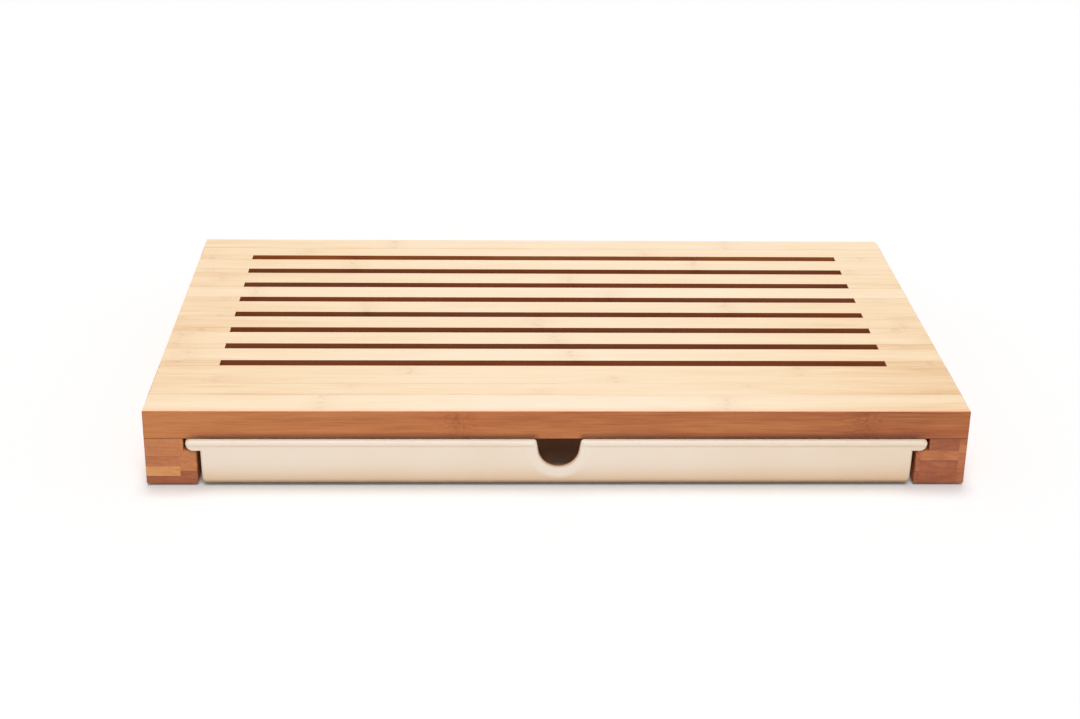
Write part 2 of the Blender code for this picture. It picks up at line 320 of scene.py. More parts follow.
def noise_at(tree, place, grains, detail=2.0, roughness=0.5):
    """A noise with so many grains to the metre."""
    inputs = {"Vector": place, "Scale": grains, "Detail": detail, "Roughness": roughness}
    return add_node(tree, "ShaderNodeTexNoise", inputs).outputs["Fac"]


def linear(colour):
    """A colour given in levels up to 255, as the shader wants it."""
    shares = [level / 255 for level in colour]
    return [share / 12.92 if share <= 0.04045 else ((share + 0.055) / 1.055) ** 2.4 for share in shares] + [1]


def tint_ramp(tree, tone, tints):
    """The tint at a tone from 0 to 1, between the tints named at their places."""
    made = add_node(tree, "ShaderNodeValToRGB", {"Fac": tone})
    ramp = made.color_ramp
    for place, colour in tints[2:]:
        ramp.elements.new(place)
    for element, (place, colour) in zip(ramp.elements, tints):
        element.position = place
        element.color = linear(colour)
    return made.outputs["Color"]


def darken(tree, amount, colour, shade):
    """A colour multiplied with a shade, by an amount from 0 to 1."""
    inputs = {0: amount, 6: colour, 7: shade}
    return add_node(tree, "ShaderNodeMix", inputs, data_type="RGBA", blend_type="MULTIPLY").outputs[2]


def set_surface(tree, shader, colour, roughness, relief, depth, strength=1.0):
    """Gives a finish its colour and roughness, and a fine relief of the depth given."""
    bump = add_node(tree, "ShaderNodeBump", {"Strength": strength, "Distance": depth, "Height": relief})
    tree.links.new(colour, shader.inputs["Base Color"])
    tree.links.new(roughness, shader.inputs["Roughness"])
    tree.links.new(bump.outputs[0], shader.inputs["Normal"])


class Grain:
    """What every bamboo finish shares: its strip's own values, and noise stretched along the fibres."""

    def __init__(self, name, axis):
        self.material, self.tree, self.shader = new_finish(name)
        self.axis = axis
        strip = add_node(self.tree, "ShaderNodeAttribute", attribute_name="strip").outputs["Vector"]
        self.tone, self.shift, self.knuckle = parts_of(self.tree, strip)
        place = add_node(self.tree, "ShaderNodeTexCoord").outputs["Object"]
        parts = parts_of(self.tree, place)
        self.along = parts[axis]
        self.across = parts[1 - axis]
        self.height = parts[2]
        self.place = self.moved(place, self.shift)

    def moved(self, place, amount):
        shift = vector(self.tree, amount, amount, amount)
        return add_node(self.tree, "ShaderNodeVectorMath", {0: place, 1: shift}, operation="ADD").outputs[0]

    def stretched(self, grains, place=None):
        """Places for a pattern with so many grains to the metre along the fibres and across them."""
        along, across = grains
        scale = [across] * 3
        scale[self.axis] = along
        inputs = {"Vector": place or self.place, "Scale": scale}
        return add_node(self.tree, "ShaderNodeMapping", inputs).outputs[0]

    def noise(self, grains, detail=2.0, roughness=0.5, place=None):
        return noise_at(self.tree, self.stretched(grains, place), 1.0, detail, roughness)

    def spread(self, noise, reach):
        """A noise turned into a value on both sides of zero, up to about the reach given."""
        return map_range(self.tree, noise, *NOISE_BAND, -reach, reach)


def painted_end_shade(grain):
    """How much painted shade darkens the top from its middle towards the board's ends, where less of the
    overhead sheen falls. At the right end the painted shade is deeper in front and lighter at the back."""
    tree = grain.tree
    away = number(tree, "ABSOLUTE", grain.along)
    end_shade_share = map_range(tree, away, *END_PAINTED_SHADE_SPAN, 0, END_PAINTED_SHADE, "SMOOTHSTEP")
    right_end = map_range(tree, grain.along, 0.0, RIGHT_END_SHADE_REACH)
    front = map_range(tree, grain.across, panel_low.y, panel_high.y, *RIGHT_END_SHADE_SHARES)
    uneven = number(tree, "ADD", 1.0, number(tree, "MULTIPLY", right_end, front))
    return number(tree, "MULTIPLY", end_shade_share, uneven)


def seam_lines(grain):
    """The soft dark lines along the glue lines of the rails, strongest at the left, and finer ones
    between the slats and the spacers, each as strong as chance has it."""
    tree = grain.tree
    wander = grain.spread(grain.noise(SEAM_BENDS, detail=1.0), SEAM_WIDTH / 2)
    shade = 0.0
    for seam, least in ((FRONT_SEAM, FRONT_SEAM_LEAST), (BACK_SEAM, BACK_SEAM_LEAST)):
        away = number(tree, "ADD", number(tree, "SUBTRACT", grain.across, seam), wander)
        line = map_range(tree, number(tree, "ABSOLUTE", away), 0, SEAM_WIDTH, 1, 0, "SMOOTHSTEP")
        fading = map_range(tree, grain.along, panel_low.x, panel_high.x / 2, SEAM_STRENGTH, least)
        shade = number(tree, "ADD", shade, number(tree, "MULTIPLY", line, fading))
    for seam in (slat_low.y, slat_high.y):
        steps = number(tree, "DIVIDE", number(tree, "SUBTRACT", grain.across, seam), SLAT_PITCH)
        nearest = number(tree, "ROUND", steps)
        away = number(tree, "ABSOLUTE", number(tree, "SUBTRACT", steps, nearest))
        away = number(tree, "MULTIPLY", away, SLAT_PITCH)
        line = map_range(tree, away, 0, FINE_SEAM_WIDTH, 1, 0, "SMOOTHSTEP")
        own = vector(tree, nearest, number(tree, "SIGN", grain.along), seam)
        chance = add_node(tree, "ShaderNodeTexWhiteNoise", {"Vector": own}, noise_dimensions="3D")
        strength = map_range(tree, chance.outputs["Value"], FINE_SEAM_MISSING, 1.0, 0, SEAM_STRENGTH)
        shade = number(tree, "ADD", shade, number(tree, "MULTIPLY", line, strength))
    patches = map_range(tree, grain.noise(SEAM_PATCHES), *PATCH_BAND, SEAM_PATCH_LEAST, 1)
    return number(tree, "MULTIPLY", patches, shade)


def arris_band(grain):
    """How much the top deepens in colour towards its front edge."""
    return map_range(grain.tree, grain.across, panel_low.y + ARRIS_DEPTH, panel_low.y)


def redder_patches(grain):
    """Where the front edge is a little redder than the bamboo round it."""
    return grain.spread(grain.noise(EDGE_PATCHES, detail=1.0), 1.0)


def foot_painted_shade(grain):
    """Painted shade: a dark band low on the front edge over the tray's rim, where the proud rim keeps light
    from below off the wood. It is missing over the finger notch and over the legs.
    """
    tree = grain.tree
    away = number(tree, "ABSOLUTE", grain.along)
    band = map_range(tree, grain.height, panel_low.z, panel_low.z + FOOT_HEIGHT, 1, 0, "SMOOTHSTEP")
    beside_notch = map_range(tree, away, *NOTCH_SPAN)
    inside_legs = map_range(tree, away, *LEG_SPAN, 1, 0)
    return number(tree, "MULTIPLY", band, number(tree, "MULTIPLY", beside_notch, inside_legs))


def long_grain(name, axis, tints, streaks, streak_tone, fibre, wave, knuckle, loop, painted_shade=None, shades=()):
    """Bamboo seen along its fibres: blotches, streaks and fine fibres, and a knuckle at each internode.
    The streaks are given as how many lie to the metre along the fibres, and how many across them.
    The painted shade given for the board's ends is taken off the tone, and each shade is multiplied in where
    its band says."""
    grain = Grain(name, axis)
    tree = grain.tree
    away = number(tree, "SUBTRACT", grain.along, grain.knuckle)
    away = number(tree, "ADD", away, grain.spread(grain.noise(KNUCKLE_BENDS, detail=1.0), KNUCKLE_WANDER))
    away = number(tree, "ABSOLUTE", number(tree, "WRAP", away, INTERNODE / 2, -INTERNODE / 2))
    near = map_range(tree, away, 0.0, KNUCKLE_REACH, 1, 0, "SMOOTHSTEP")
    close = map_range(tree, away, 0.0, KNUCKLE_CORE, 1, 0, "SMOOTHSTEP")
    curl = number(tree, "MULTIPLY", near, grain.spread(grain.noise(CURLS), KNUCKLE_CURL))
    bend = number(tree, "ADD", curl, grain.spread(grain.noise(BENDS, detail=1.0), wave))
    bent = grain.moved(grain.place, bend)

    blotches = grain.spread(grain.noise(BLOTCHES, roughness=BLOTCH_ROUGHNESS), BLOTCH_TONE)
    lines = grain.spread(grain.noise(streaks, STREAK_DETAIL, STREAK_ROUGHNESS, bent), streak_tone)
    tone = number(tree, "ADD", grain.tone, number(tree, "ADD", blotches, lines))
    if painted_shade:
        tone = number(tree, "SUBTRACT", tone, painted_shade(grain))
    colour = tint_ramp(tree, tone, tints)
    for band, shade in shades:
        colour = darken(tree, band(grain), colour, shade)

    fibres = grain.noise((2 * streaks[0], FIBRES_ACROSS), place=bent)
    colour = darken(tree, map_range(tree, fibres, *FIBRE_BAND, 0, fibre), colour, FIBRE_SHADE)
    loops = number(tree, "SUBTRACT", grain.noise(LOOPS, detail=1.0, place=bent), 0.5)
    loops = map_range(tree, number(tree, "ABSOLUTE", loops), 0.0, LOOP_BREADTH, loop, 0)
    loops = number(tree, "MULTIPLY", near, loops)
    dashes = number(tree, "MULTIPLY", close, map_range(tree, grain.noise(DASHES, place=bent), *DASH_BAND))
    halo = number(tree, "MULTIPLY", near, KNUCKLE_HALO)
    mark = number(tree, "ADD", number(tree, "ADD", loops, dashes), halo)
    colour = darken(tree, number(tree, "MULTIPLY", mark, knuckle), colour, KNUCKLE_SHADE)
    roughness = map_range(tree, fibres, *NOISE_BAND, *FACE_ROUGHNESS)
    set_surface(tree, grain.shader, colour, roughness, fibres, FIBRE_DEPTH)
    return grain.material


def end_grain(name, axis, tints):
    """Bamboo cut across: dark dots that crowd together towards the rind, which is darker itself."""
    grain = Grain(name, axis)
    tree = grain.tree
    rind = add_node(tree, "ShaderNodeAttribute", attribute_name="rind").outputs["Fac"]
    cells = {"Vector": grain.stretched(DOTS), "Scale": 1.0, "Randomness": DOT_SCATTER}
    cells = add_node(tree, "ShaderNodeTexVoronoi", cells, feature="F1").outputs["Distance"]
    dots = number(tree, "DIVIDE", cells, map_range(tree, rind, 0, 1, *DOT_SIZES))
    dots = map_range(tree, dots, DOT_CORE, 1.0, 1, 0, "SMOOTHSTEP")
    cloud = grain.noise(END_CLOUDS)
    layers = grain.moved(grain.place, grain.spread(cloud, LAYER_WANDER))
    layers = add_node(tree, "ShaderNodeMapping", {"Vector": layers, "Scale": END_LAYERS}).outputs[0]
    layers = noise_at(tree, layers, 1.0)
    tone = number(tree, "ADD", grain.tone, grain.spread(cloud, CLOUD_TONE))
    tone = number(tree, "ADD", tone, grain.spread(layers, LAYER_TONE))
    tone = number(tree, "SUBTRACT", tone, map_range(tree, rind, RIND_START, 1.0, 0, RIND_TONE, "SMOOTHSTEP"))
    tone = number(tree, "ADD", tone, map_range(tree, rind, 0.0, PITH_END, PITH_TONE, 0))
    colour = tint_ramp(tree, tone, tints)
    colour = darken(tree, number(tree, "MULTIPLY", dots, DOT_STRENGTH), colour, DOT_SHADE)
    roughness = map_range(tree, cloud, *NOISE_BAND, *END_ROUGHNESS)
    set_surface(tree, grain.shader, colour, roughness, number(tree, "SUBTRACT", 1, dots), DOT_DEPTH)
    return grain.material


# The flat faces carry painted shade towards the board's ends.
panel_face = long_grain(
    "bamboo_flat_face",
    axis=0,
    tints=PALE_TINTS,
    streaks=(30, 560),
    streak_tone=0.10,
    fibre=0.16,
    wave=0.0004,
    knuckle=0.26,
    loop=0.3,
    painted_shade=painted_end_shade,
    shades=((seam_lines, SEAM_SHADE), (arris_band, ARRIS_SHADE)),
)
# The front edge carries painted shade low down over the tray's rim.
panel_edge = long_grain(
    "bamboo_front_edge",
    axis=0,
    tints=CARAMEL_TINTS,
    streaks=(36, 900),
    streak_tone=0.17,
    fibre=0.30,
    wave=0.0003,
    knuckle=0.6,
    loop=0.8,
    shades=((redder_patches, PATCH_SHADE), (foot_painted_shade, FOOT_PAINTED_SHADE)),
)
# The underside is darker than the top, as painted shade for the tray's inside.
panel_under = long_grain(
    "bamboo_underside",
    axis=0,
    tints=UNDER_PAINTED_SHADE_TINTS,
    streaks=(30, 560),
    streak_tone=0.14,
    fibre=0.20,
    wave=0.0004,
    knuckle=0.4,
    loop=0.3,
)
panel_end = end_grain("bamboo_panel_end", 0, CARAMEL_TINTS)

# A strip of bamboo has a tone at each end of its fibres, a shift that gives it a pattern of its own,
# and a place along it where its knuckle lies.
Strip = namedtuple("Strip", "first_tone last_tone shift knuckle")

# Where a face looks straight along an axis by at least this share, it counts as turned that way.
TURNED_SHARE = 0.75
FACE_FINISH, EDGE_FINISH, END_FINISH, UNDER_FINISH = range(4)


def box_mesh(low, high):
    bm = bmesh.new()
    bmesh.ops.create_cube(bm, size=1)
    for vert in bm.verts:
        vert.co = [high[i] if vert.co[i] > 0 else low[i] for i in range(3)]
    return bm


def ease_edges(bm, planes):
    """Rounds the arrises between two faces that lie on the planes given."""

    def lies_on(face, axis, value):
        return all(abs(vert.co[axis] - value) < PLANE_TOLERANCE for vert in face.verts)

    def exposed(face):
        return any(lies_on(face, axis, value) for axis, value in planes)

    edges = [edge for edge in bm.edges if len(edge.link_faces) == 2 and all(map(exposed, edge.link_faces))]
    made = bmesh.ops.bevel(bm, geom=edges, offset=EASE, segments=EASE_STEPS, profile=0.5, affect="EDGES")
    for face in made["faces"]:
        face.smooth = True


def add_bamboo(name, bm, axis, finishes, strips, edge, seams=()):
    """A bamboo piece, with a finish each for its flat faces, edges, ends and underside. The seams part
    its flat faces into the strips given, and its edges and ends are one strip of their own."""
    across = 1 - axis
    bmesh.ops.recalc_face_normals(bm, faces=bm.faces)
    values = bm.loops.layers.float_vector.new("strip")
    rind = bm.verts.layers.float.new("rind")
    lowest = min(vert.co.z for vert in bm.verts)
    highest = max(vert.co.z for vert in bm.verts)
    start = min(vert.co[axis] for vert in bm.verts)
    end = max(vert.co[axis] for vert in bm.verts)
    for vert in bm.verts:
        vert[rind] = (vert.co.z - lowest) / (highest - lowest)
    for face in bm.faces:
        normal = [abs(part) for part in face.normal]
        side = normal.index(max(normal))
        strip = edge
        face.material_index = END_FINISH if side == axis else EDGE_FINISH
        if side == 2:
            place = face.calc_center_median()[across]
            strip = strips[sum(place > seam for seam in seams)]
            face.material_index = UNDER_FINISH if face.normal.z < -TURNED_SHARE else FACE_FINISH
        for loop in face.loops:
            share = (loop.vert.co[axis] - start) / (end - start)
            tone = strip.first_tone + (strip.last_tone - strip.first_tone) * share
            loop[values] = (tone, strip.shift, strip.knuckle)
    made = add_object(name, bm)
    for finish in finishes:
        made.data.materials.append(finish)
    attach(made, "board")
    return made


def panel_stave(node, front_glued, back_glued, strips, edge, seams=()):
    """A stave of the panel in its CAD node's place, grown over half of each glue line beside it."""
    low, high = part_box(node)
    growth = (GLUE_LINE - HAIRLINE) / 2
    low.y -= growth if front_glued else 0
    high.y += growth if back_glued else 0
    bm = box_mesh(low, high)
    ease_edges(bm, BOARD_PLANES)
    for seam in seams:
        geometry = bm.verts[:] + bm.edges[:] + bm.faces[:]
        bmesh.ops.bisect_plane(bm, geom=geometry, plane_co=(0, seam, 0), plane_no=(0, 1, 0))
    finishes = (panel_face, panel_edge, panel_end, panel_under)
    made = add_bamboo(node + "_bamboo", bm, 0, finishes, strips, edge, seams)
    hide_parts(node)


# The inner stave of the front rail shows four narrow strips, each with a pattern of its own.
panel_stave(
    "front_rail_outer_stave",
    front_glued=False,
    back_glued=True,
    strips=[Strip(0.94, 0.90, 0.31, 0.085)],
    edge=Strip(0.62, 0.22, 1.13, -0.050),
)
panel_stave(
    "front_rail_inner_stave",
    front_glued=True,
    back_glued=False,
    strips=[
        Strip(0.72, 0.66, 1.73, -0.008),
        Strip(0.70, 0.64, 2.91, -0.106),
        Strip(0.72, 0.66, 3.57, 0.030),
        Strip(0.70, 0.62, 4.43, 0.128),
    ],
    edge=Strip(0.40, 0.40, 2.2, 0.03),
    seams=(-0.0960, -0.0895, -0.0800),
)
panel_stave(
    "back_rail_inner_stave",
    front_glued=False,
    back_glued=True,
    strips=[Strip(0.74, 0.70, 3.37, 0.061)],
    edge=Strip(0.40, 0.40, 5.2, 0.09),
)
panel_stave(
    "back_rail_outer_stave",
    front_glued=True,
    back_glued=False,
    strips=[Strip(0.78, 0.74, 4.19, -0.092)],
    edge=Strip(0.50, 0.40, 6.2, -0.04),
)


# Slats and spacers of the top panel. Seven bamboo slats run the board's whole length, and a short
# bamboo block at each end of each slot holds them apart; all are glued edge to edge and planed flush.
SLAT_TONES = (0.68, 0.86)
SLAT_SEED = 7
SPACER_TONES = (0.62, 0.76)
SPACER_SEEDS = {"left": 16, "right": 18}
# The sides of the slats and spacers, which face into the slots, take the caramel of the edges darkened:
# painted shade for the shadow inside the slots.
SLOT_PAINTED_SHADE_TINTS = ((0.0, (126, 62, 34)), (0.5, (152, 82, 46)), (1.0, (170, 98, 58)))
FARTHEST_SHIFT = 9.0
MIDDLE_TOLERANCE = 1e-9
WELD = 1e-7
FLAT_SHARE = 0.9999


def random_value(tree, least, most, seed):
    """A value for each bar, between the least and the most."""
    inputs = {2: least, 3: most, "Seed": seed}
    return add_node(tree, "FunctionNodeRandomValue", inputs, data_type="FLOAT").outputs[1]


def bars_tree():
    """Bars side by side along Y: a rounded outline in X and Z, swept over the bar's width."""
    tree = bpy.data.node_groups.new("bamboo_bars", "GeometryNodeTree")
    for kind, names in (
        ("Int", ("Count", "Seed")),
        ("Float", ("First", "Pitch", "Width", "Left", "Right", "Underside", "Top")),
        ("Float", ("Ease", "Eased Side", "Least Tone", "Most Tone")),
        ("Material", ("Face", "Underneath", "Edge", "End")),
    ):
        for name in names:
            tree.interface.new_socket(name, in_out="INPUT", socket_type="NodeSocket" + kind)
    tree.interface.new_socket("Geometry", in_out="OUTPUT", socket_type="NodeSocketGeometry")
    given = tree.nodes.new("NodeGroupInput").outputs

    # The outline's corners on the eased side, or on both sides where none is named, are rounded.
    length = number(tree, "SUBTRACT", given["Right"], given["Left"])
    thickness = number(tree, "SUBTRACT", given["Top"], given["Underside"])
    sides = {"Width": length, "Height": thickness}
    outline = add_node(tree, "GeometryNodeCurvePrimitiveQuadrilateral", sides, mode="RECTANGLE").outputs[0]
    place = add_node(tree, "GeometryNodeInputPosition").outputs[0]
    outward = number(tree, "MULTIPLY", parts_of(tree, place)[0], given["Eased Side"])
    on_eased_side = number(tree, "GREATER_THAN", outward, -MIDDLE_TOLERANCE)
    radius = number(tree, "MULTIPLY", on_eased_side, given["Ease"])
    fillet = {"Curve": outline, "Radius": radius, "Count": EASE_STEPS}
    rounded = add_node(tree, "GeometryNodeFilletCurve", fillet, mode="POLY").outputs[0]

    # The outline runs along a straight line as long as the bar is wide.
    end = vector(tree, 0, given["Width"], 0)
    run = add_node(tree, "GeometryNodeCurvePrimitiveLine", {"End": end}).outputs[0]
    run = add_node(tree, "GeometryNodeSetCurveNormal", {0: run}, mode="Z_UP").outputs[0]
    sweep = {"Curve": run, "Profile Curve": rounded, "Fill Caps": True}
    bar = add_node(tree, "GeometryNodeCurveToMesh", sweep).outputs[0]

    # The bars stand in a row, one pitch apart.
    middle_x = number(tree, "MULTIPLY", number(tree, "ADD", given["Left"], given["Right"]), 0.5)
    middle_z = number(tree, "MULTIPLY", number(tree, "ADD", given["Underside"], given["Top"]), 0.5)
    start = vector(tree, middle_x, given["First"], middle_z)
    step = vector(tree, 0, given["Pitch"], 0)
    row = {"Count": given["Count"], "Start Location": start, "Offset": step}
    row = add_node(tree, "GeometryNodeMeshLine", row).outputs[0]
    bars = add_node(tree, "GeometryNodeInstanceOnPoints", {"Points": row, "Instance": bar}).outputs[0]

    # Each bar has a tone, a shift of its pattern and a knuckle's place of its own.
    tone = random_value(tree, given["Least Tone"], given["Most Tone"], given["Seed"])
    shift = random_value(tree, 0.0, FARTHEST_SHIFT, number(tree, "ADD", given["Seed"], 1))
    knuckle = random_value(tree, given["Left"], given["Right"], number(tree, "ADD", given["Seed"], 2))
    bars = add_node(
        tree,
        "GeometryNodeStoreNamedAttribute",
        {"Geometry": bars, "Name": "strip", "Value": vector(tree, tone, shift, knuckle)},
        data_type="FLOAT_VECTOR",
        domain="INSTANCE",
    ).outputs[0]
    solid = add_node(tree, "GeometryNodeRealizeInstances", {"Geometry": bars}).outputs[0]
    height = number(tree, "SUBTRACT", parts_of(tree, place)[2], given["Underside"])
    solid = add_node(
        tree,
        "GeometryNodeStoreNamedAttribute",
        {"Geometry": solid, "Name": "rind", "Value": number(tree, "DIVIDE", height, thickness)},
        data_type="FLOAT",
        domain="POINT",
    ).outputs[0]

    # A face takes its finish from the way that it looks.
    looks = parts_of(tree, add_node(tree, "GeometryNodeInputNormal").outputs[0])
    downward = number(tree, "MAXIMUM", number(tree, "MULTIPLY", looks[2], -1.0), 0.0)
    everywhere = {"Geometry": solid, "Material": given["Face"]}
    solid = add_node(tree, "GeometryNodeSetMaterial", everywhere).outputs[0]
    for name, part in (("Edge", looks[1]), ("End", looks[0]), ("Underneath", downward)):
        turned = number(tree, "GREATER_THAN", number(tree, "ABSOLUTE", part), TURNED_SHARE)
        chosen = {"Geometry": solid, "Selection": turned, "Material": given[name]}
        solid = add_node(tree, "GeometryNodeSetMaterial", chosen).outputs[0]
    tree.links.new(solid, add_node(tree, "NodeGroupOutput").inputs[0])
    return tree


def grown_mesh(name, tree, inputs):
    """Runs a tree with its inputs set, and keeps what it makes as a plain mesh object."""
    source = bpy.data.objects.new(name + "_source", bpy.data.meshes.new(name + "_source"))
    scene.collection.objects.link(source)
    modifier = source.modifiers.new("growth", "NODES")
    modifier.node_group = tree
    for item in tree.interface.items_tree:
        if item.in_out == "INPUT" and item.name in inputs:
            modifier[item.identifier] = inputs[item.name]
    shown = source.evaluated_get(bpy.context.evaluated_depsgraph_get())
    mesh = bpy.data.meshes.new_from_object(shown)
    mesh.name = name
    bpy.data.objects.remove(source)
    bm = bmesh.new()
    bm.from_mesh(mesh)
    bmesh.ops.remove_doubles(bm, verts=bm.verts, dist=WELD)
    bmesh.ops.recalc_face_normals(bm, faces=bm.faces)
    for face in bm.faces:
        face.smooth = max(abs(part) for part in face.normal) < FLAT_SHARE
    bm.to_mesh(mesh)
    bm.free()
    made = bpy.data.objects.new(name, mesh)
    scene.collection.objects.link(made)
    return made


# The slot walls' finish: caramel bamboo darkened as painted shade.
slot_side_painted_shade = long_grain(
    "bamboo_slot_side_painted_shade",
    axis=0,
    tints=SLOT_PAINTED_SHADE_TINTS,
    streaks=(40, 500),
    streak_tone=0.17,
    fibre=0.30,
    wave=0.0007,
    knuckle=0.5,
    loop=0.5,
)
bars = bars_tree()


def panel_bars(name, first_words, growth, eased_side, tones, seed):
    """A row of like bars in place of their CAD nodes, each grown towards both neighbours."""
    nodes = [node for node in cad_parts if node.startswith(first_words)]
    low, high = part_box(first_words + "1")
    inputs = {
        "Count": len(nodes),
        "First": low.y - growth,
        "Pitch": SLAT_PITCH,
        "Width": high.y - low.y + 2 * growth,
        "Left": low.x,
        "Right": high.x,
        "Underside": panel_low.z,
        "Top": panel_high.z,
        "Ease": EASE,
        "Eased Side": eased_side,
        "Least Tone": tones[0],
        "Most Tone": tones[1],
        "Seed": seed,
        "Face": panel_face,
        "Underneath": panel_under,
        "Edge": slot_side_painted_shade,
        "End": panel_end,
    }
    piece = grown_mesh(name, bars, inputs)
    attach(piece, "board")
    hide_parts(*nodes)


panel_bars("slats_bamboo", "slat_", growth=0.0, eased_side=0.0, tones=SLAT_TONES, seed=SLAT_SEED)
for side, outward in (("left", -1.0), ("right", 1.0)):
    panel_bars(
        side + "_spacers_bamboo",
        side + "_spacer_",
        growth=GLUE_LINE - HAIRLINE,
        eased_side=outward,
        tones=SPACER_TONES,
        seed=SPACER_SEEDS[side],
    )


# Legs. Each is a bamboo rail that runs front to back, glued up from laths in columns and grooved
# along its inner top corner; the laths' cut ends show at the front in tones from ochre to red-brown.
LEG_TINTS = (
    (0.0, (150, 80, 50)),
    (0.25, (176, 99, 61)),
    (0.5, (198, 122, 74)),
    (0.75, (212, 137, 80)),
    (1.0, (228, 160, 97)),
)
LEG_GRAIN = dict(streaks=(34, 620), streak_tone=0.22, fibre=0.4, wave=0.0006, knuckle=0.7, loop=0.8)
LATH_TONES = {
    "left_leg_outer": (0.20, 0.98, 0.45, 0.56, 0.62),
    "left_leg_inner": (0.20, 0.60, 0.62, 0.66),
    "right_leg_outer": (0.26, 0.40, 0.44, 0.58, 0.30),
    "right_leg_middle": (0.16, 0.20, 0.44, 0.14),
    "right_leg_inner": (0.14, 0.26, 0.34),
}
LATH_SHIFT = 0.77
FIRST_SHIFT = 0.13
KNUCKLE_STEP = 0.061
KNUCKLE_PLACES = 4
FIRST_KNUCKLE = -0.08

LEG_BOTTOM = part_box("left_leg_outer_lath_1")[0].z
LEFT_LEG_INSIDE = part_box("left_leg_inner_lath_1")[1].x
RIGHT_LEG_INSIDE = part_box("right_leg_inner_lath_1")[0].x
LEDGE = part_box("left_leg_inner_lath_3")[1].z
GROOVE_WALL = -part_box("left_leg_inner_lath_4")[1].x
LEG_PLANES = BOARD_PLANES + [(2, LEG_BOTTOM), (0, LEFT_LEG_INSIDE), (0, RIGHT_LEG_INSIDE)]

leg_side = long_grain("bamboo_leg_side", 1, LEG_TINTS, **LEG_GRAIN)
leg_end = end_grain("bamboo_leg_end", 1, LEG_TINTS)


def loft(rings):
    """A closed solid through rings of points, one after another."""
    bm = bmesh.new()
    loops = [[bm.verts.new(point) for point in ring] for ring in rings]
    for lower, upper in zip(loops, loops[1:]):
        for index in range(len(lower)):
            bm.faces.new((lower[index - 1], lower[index], upper[index], upper[index - 1]))
    bm.faces.new(reversed(loops[0]))
    bm.faces.new(loops[-1])
    bmesh.ops.recalc_face_normals(bm, faces=bm.faces)
    return bm


def leg_lath(node, tone, count):
    """A lath in its CAD node's place, grown over the glue lines under it and outside it. A lath that
    the groove cuts into keeps the ledge and the groove's wall."""
    low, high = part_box(node)
    sign = -1 if high.x < 0 else 1
    inner, outer = sorted((abs(low.x), abs(high.x)))
    growth = GLUE_LINE - HAIRLINE
    bottom = low.z - (growth if low.z > LEG_BOTTOM + GLUE_LINE else 0)
    outer += growth if outer < panel_high.x - GLUE_LINE else 0
    corners = [(outer, high.z), (outer, bottom), (inner, bottom)]
    if high.z > LEDGE + GLUE_LINE and inner < GROOVE_WALL - GLUE_LINE:
        corners += [(inner, LEDGE), (GROOVE_WALL, LEDGE), (GROOVE_WALL, high.z)]
    else:
        corners += [(inner, high.z)]
    bm = loft([[(sign * x, y, z) for x, z in corners] for y in (low.y, high.y)])
    ease_edges(bm, LEG_PLANES)
    knuckle = FIRST_KNUCKLE + KNUCKLE_STEP * (count % KNUCKLE_PLACES)
    strip = Strip(tone, tone, LATH_SHIFT * count + FIRST_SHIFT, knuckle)
    finishes = (leg_side, leg_side, leg_end, leg_side)
    made = add_bamboo(node + "_bamboo", bm, 1, finishes, [strip], strip)
    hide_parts(node)


lath_number = 0
for column, tones in LATH_TONES.items():
    for index, tone in enumerate(tones, 1):
        lath_number += 1
        leg_lath(f"{column}_lath_{index}", tone, lath_number)


# Rear stop. A bamboo bar glued between the legs under the panel's back edge,
# against which the tray comes to rest.
STOP_STRIP = Strip(0.45, 0.40, 5.3, 0.07)

low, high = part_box("rear_stop")
growth = GLUE_LINE - HAIRLINE
bm = box_mesh((low.x - growth, low.y, low.z), (high.x + growth, high.y, high.z + growth))
ease_edges(bm, [(1, low.y), (1, high.y), (2, low.z)])
stop_side = long_grain("bamboo_stop", 0, LEG_TINTS, **LEG_GRAIN)
finishes = (stop_side, stop_side, panel_end, stop_side)
piece = add_bamboo("rear_stop_bamboo", bm, 0, finishes, [STOP_STRIP], STOP_STRIP)
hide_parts("rear_stop")


# Pads. Four thin discs of dark rubber under the ends of the legs, punched from sheet
# and stuck on, which keep the board from slipping.
PAD_STEPS = 40
PAD_EASE = 0.00025
PAD_TINTS = ((0.0, (46, 42, 39)), (1.0, (74, 69, 64)))
PAD_GRAINS = 2600.0
PAD_GRAIN_DEPTH = 0.00008
PAD_ROUGHNESS = (0.78, 0.92)

finish, tree, shader = new_finish("rubber_sheet")
place = add_node(tree, "ShaderNodeTexCoord").outputs["Object"]
specks = noise_at(tree, place, PAD_GRAINS, detail=3.0)
roughness = map_range(tree, specks, *NOISE_BAND, *PAD_ROUGHNESS)
set_surface(tree, shader, tint_ramp(tree, specks, PAD_TINTS), roughness, specks, PAD_GRAIN_DEPTH)


def pad_ring(middle, radius, level):
    """A pad's round outline at a level."""
    turns = [2 * pi * step / PAD_STEPS for step in range(PAD_STEPS)]
    return [(middle.x + radius * cos(turn), middle.y + radius * sin(turn), level) for turn in turns]


# A pad's side is made of four-cornered faces and looks smooth, and its two round faces stay flat.
for node in ("front_left_pad", "front_right_pad", "back_left_pad", "back_right_pad"):
    low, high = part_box(node)
    middle, radius = (low + high) / 2, (high.x - low.x) / 2
    top = high.z + GLUE_LINE
    profile = ((0.0, PAD_EASE), (PAD_EASE, 0.0), (top - PAD_EASE, 0.0), (top, PAD_EASE))
    bm = loft([pad_ring(middle, radius - inset, level) for level, inset in profile])
    for face in bm.faces:
        face.smooth = len(face.verts) == 4
    piece = add_object(node + "_rubber", bm)
    piece.data.materials.append(finish)
    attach(piece, "board")
    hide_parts(node)


